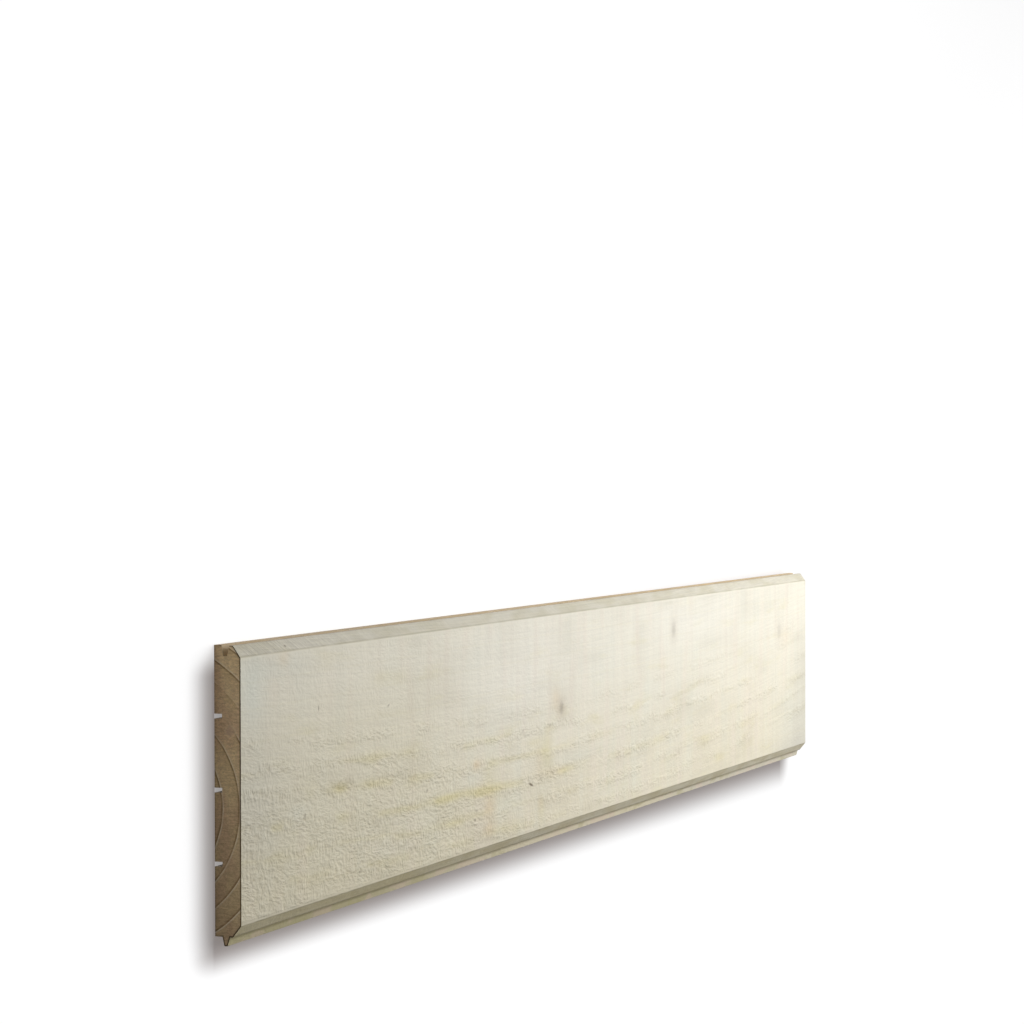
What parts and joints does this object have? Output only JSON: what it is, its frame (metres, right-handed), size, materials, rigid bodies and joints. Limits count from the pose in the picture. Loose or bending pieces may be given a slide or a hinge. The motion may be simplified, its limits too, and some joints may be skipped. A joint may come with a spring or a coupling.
{
  "type": "tongue and groove board",
  "caption": "Wide softwood cladding board with a tongue on one long edge, a groove on the other, chamfered face edges, relief kerfs in its back and a rough-sawn white-glazed face.",
  "frame": {"origin": "under the middle of the board, tongue included, on its back face", "axes": "+X along the board, +Y towards the grooved edge, +Z out of the face; the board lies on its back"},
  "size_m": [1.25, 0.196, 0.0195],
  "materials": {
    "glazed_spruce": "thin white glaze on the rough-sawn face, the chamfers and the front of the tongue; groove, back, kerfs and end grain bare"
  },
  "bodies": {
    "root": {"board": "glazed_spruce"}
  },
  "joints": []
}
